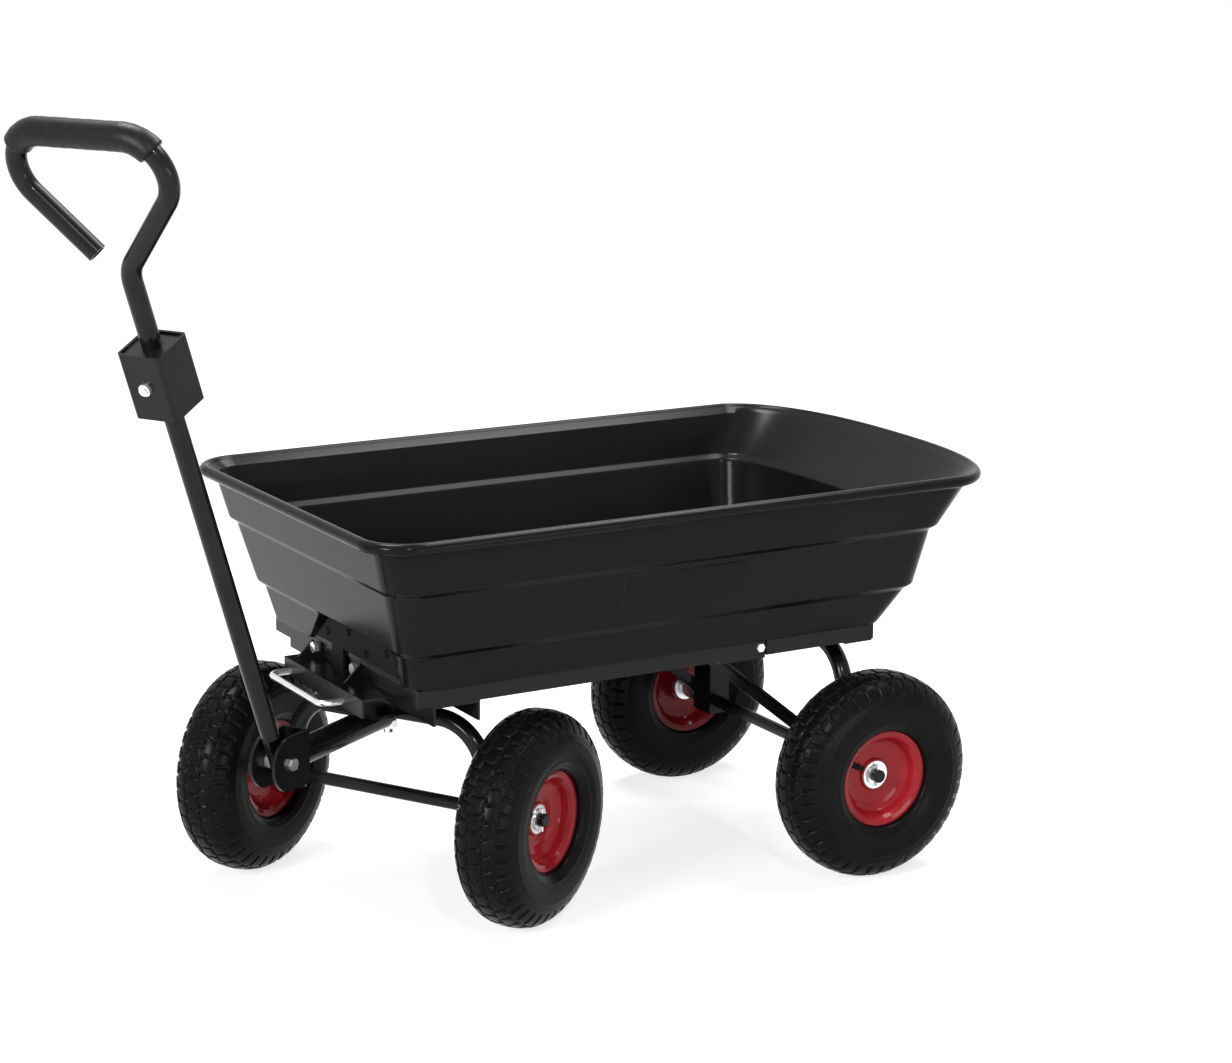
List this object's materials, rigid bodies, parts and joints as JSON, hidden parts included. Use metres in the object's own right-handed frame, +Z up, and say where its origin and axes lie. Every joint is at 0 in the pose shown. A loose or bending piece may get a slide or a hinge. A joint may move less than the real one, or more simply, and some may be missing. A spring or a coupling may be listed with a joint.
{
  "type": "tipping dump cart",
  "caption": "Pull-along garden dump cart with a tipping moulded tray, swivelling front axle, pneumatic wheels, sprung tray release and a looped handle with a foam grip.",
  "frame": {"origin": "on the floor under the middle of the whole cart's box, with the front axle turned and the handle leaning as at rest", "axes": "+X along the cart towards the dumping end, +Y to the far side, +Z up"},
  "size_m": [1.2574, 0.6149, 0.9772],
  "materials": {
    "tray_plastic": "satin moulded plastic",
    "black_steel": "semi-gloss powder coat",
    "zinc_steel": "zinc plated",
    "rim_paint": "gloss paint on pressed steel",
    "tyre_rubber": "matt rubber",
    "tube_rubber": "matt rubber",
    "grip_foam": "matt foam"
  },
  "bodies": {
    "chassis": {"side_rail_near": "black_steel", "side_rail_far": "black_steel", "front_cross_angle": "black_steel", "rear_cross_strap": "black_steel", "king_channel": "black_steel", "king_sleeve": "black_steel", "latch_channel": "black_steel", "latch_brackets": "black_steel", "frame_bolts": "zinc_steel", "rear_arch": "black_steel", "rear_axle": "black_steel", "rear_gussets": "black_steel", "rear_brace_near": "black_steel", "rear_brace_far": "black_steel", "rear_axle_fittings": "zinc_steel", "latch_spring": "zinc_steel"},
    "tray": {"tray_shell": "tray_plastic", "tray_hinge": "black_steel", "hinge_angles": "black_steel", "tray_catch": "black_steel", "tray_rivets": "zinc_steel"},
    "release": {"release_loop": "zinc_steel", "latch_bar": "black_steel"},
    "steering": {"front_arch": "black_steel", "front_axle": "black_steel", "steering_plate": "black_steel", "thrust_washer": "zinc_steel", "kingpin": "zinc_steel", "neck_tube": "black_steel", "clevis": "black_steel", "clevis_bolt": "zinc_steel", "front_axle_fittings": "zinc_steel"},
    "drawbar": {"drawbar_tube": "black_steel", "hitch_box": "black_steel", "hitch_pin": "zinc_steel", "handle_loop": "black_steel", "handle_grip": "grip_foam"},
    "wheel_rear_near": {"rear_near_tyre": "tyre_rubber", "rear_near_inner_tube": "tube_rubber", "rear_near_rim_outer": "rim_paint", "rear_near_rim_inner": "rim_paint", "rear_near_bearings": "zinc_steel"},
    "wheel_rear_far": {"rear_far_tyre": "tyre_rubber", "rear_far_inner_tube": "tube_rubber", "rear_far_rim_outer": "rim_paint", "rear_far_rim_inner": "rim_paint", "rear_far_bearings": "zinc_steel"},
    "wheel_front_near": {"front_near_tyre": "tyre_rubber", "front_near_inner_tube": "tube_rubber", "front_near_rim_outer": "rim_paint", "front_near_rim_inner": "rim_paint", "front_near_bearings": "zinc_steel"},
    "wheel_front_far": {"front_far_tyre": "tyre_rubber", "front_far_inner_tube": "tube_rubber", "front_far_rim_outer": "rim_paint", "front_far_rim_inner": "rim_paint", "front_far_bearings": "zinc_steel"}
  },
  "joints": [
    {"name": "tray_tip", "type": "hinge", "parent": "chassis", "child": "tray", "pos_m": [0.43623, 0.03207, 0.276], "axis": [0, 1, 0], "range_deg": [0, 75]},
    {"name": "release_pull", "type": "slide", "parent": "chassis", "child": "release", "axis": [-1, 0, 0], "range_m": [0, 0.008], "stiffness_N_per_m": 700, "springref_m": -0.012, "deforming": ["latch_spring"]},
    {"name": "steer", "type": "hinge", "parent": "chassis", "child": "steering", "pos_m": [-0.11477, 0.03207, 0.249], "axis": [0, 0, 1], "range_deg": [-75.3, 14.7]},
    {"name": "drawbar_lift", "type": "hinge", "parent": "steering", "child": "drawbar", "pos_m": [-0.3099, -0.08195, 0.2288], "axis": [0.5045, -0.8634, 0], "range_deg": [-17.3, 72.7]},
    {"name": "rear_near_spin", "type": "hinge", "parent": "chassis", "child": "wheel_rear_near", "pos_m": [0.43623, -0.19293, 0.13], "axis": [0, 1, 0], "continuous": true},
    {"name": "rear_far_spin", "type": "hinge", "parent": "chassis", "child": "wheel_rear_far", "pos_m": [0.43623, 0.25707, 0.13], "axis": [0, 1, 0], "continuous": true},
    {"name": "front_near_spin", "type": "hinge", "parent": "steering", "child": "wheel_front_near", "pos_m": [-0.01462, -0.13931, 0.13], "axis": [-0.5045, 0.8634, 0], "continuous": true},
    {"name": "front_far_spin", "type": "hinge", "parent": "steering", "child": "wheel_front_far", "pos_m": [-0.21492, 0.20345, 0.13], "axis": [-0.5045, 0.8634, 0], "continuous": true}
  ]
}
